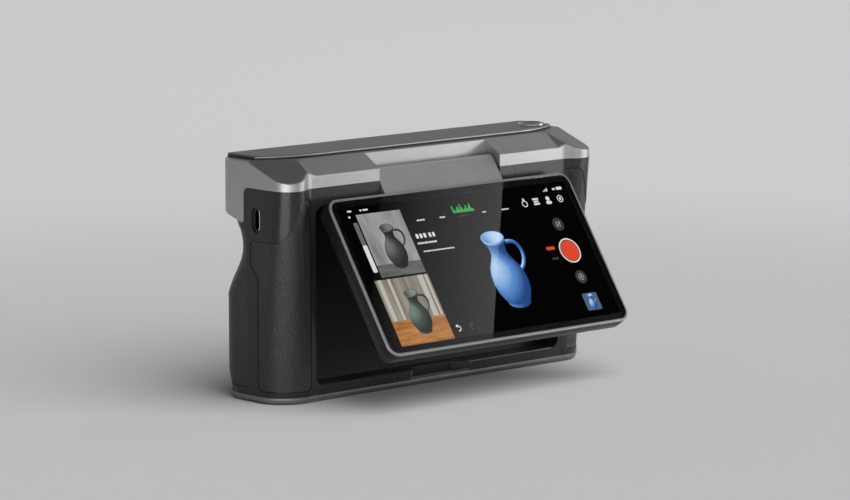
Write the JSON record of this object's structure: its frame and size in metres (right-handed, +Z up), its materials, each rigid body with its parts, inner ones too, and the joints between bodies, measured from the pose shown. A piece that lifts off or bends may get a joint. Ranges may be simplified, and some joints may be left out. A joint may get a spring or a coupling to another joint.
{
  "type": "handheld 3d scanner",
  "caption": "Hand-held 3-D scanner: box body with sculpted grips, a touch screen hinged at the top of its back, push buttons, a lens window and a tripod socket.",
  "frame": {"origin": "centre of the tripod socket's mouth, in the underside of the base", "axes": "+X right as the user sees the screen, +Y towards the scanned object, +Z up"},
  "size_m": [0.191, 0.0913, 0.109],
  "materials": {
    "housing": "satin",
    "silver": "satin",
    "top_grey": "matt",
    "grip": "grained",
    "pocket": "matt",
    "glass": "polished",
    "display": "gloss",
    "window": "gloss",
    "lamp": "translucent",
    "lens_barrel": "anodised",
    "bench": "milled",
    "board": "satin",
    "chip": "matt",
    "battery": "satin",
    "lead": "matt",
    "button": "satin",
    "steel": "brushed",
    "brass": "turned"
  },
  "bodies": {
    "body": {"rear_housing": "housing", "front_housing": "housing", "top_cap": "silver", "base_plate": "silver", "top_plate": "top_grey", "left_rear_grip": "grip", "right_rear_grip": "grip", "left_front_grip": "grip", "right_front_grip": "grip", "recess_panel": "pocket", "lens_covers": "glass", "front_window": "window", "light_ring": "lamp", "far_camera_left": "lens_barrel", "far_camera_right": "lens_barrel", "near_camera_left": "lens_barrel", "near_camera_right": "lens_barrel", "projector": "lens_barrel", "colour_camera": "lens_barrel", "optics_bench": "bench", "heat_spreader": "bench", "main_board": "board", "usb_board": "board", "power_board": "board", "scan_switch": "board", "board_chips": "chip", "battery_pack": "battery", "board_lead": "lead", "usb_port": "steel", "hinge_bracket_left": "steel", "hinge_bracket_right": "steel", "base_screws": "steel", "housing_screws": "steel", "board_screws": "steel", "side_board_screws": "steel", "bracket_screws": "steel", "optics_screws": "steel", "tripod_insert": "brass"},
    "screen": {"cover_glass": "glass", "screen_rim": "silver", "display_panel": "display", "screen_back": "pocket", "driver_board": "board", "hinge_tab": "silver", "hinge_shaft": "steel", "hinge_collars": "steel", "friction_discs": "steel", "shaft_nuts": "steel", "tab_screws": "steel", "screen_lead": "lead"},
    "scan_button": {"scan_button": "button"},
    "power_button": {"power_button": "button"}
  },
  "joints": [
    {"name": "screen_hinge", "type": "hinge", "parent": "body", "child": "screen", "pos_m": [0, -0.0145, 0.097], "axis": [-1, 0, 0], "range_deg": [-33.7, 146.3]},
    {"name": "scan_press", "type": "slide", "parent": "body", "child": "scan_button", "axis": [0, 0, -1], "range_m": [0, 0.0008], "stiffness_N_per_m": 2500},
    {"name": "power_press", "type": "slide", "parent": "body", "child": "power_button", "axis": [-1, 0, 0], "range_m": [0, 0.0005], "stiffness_N_per_m": 3000}
  ]
}
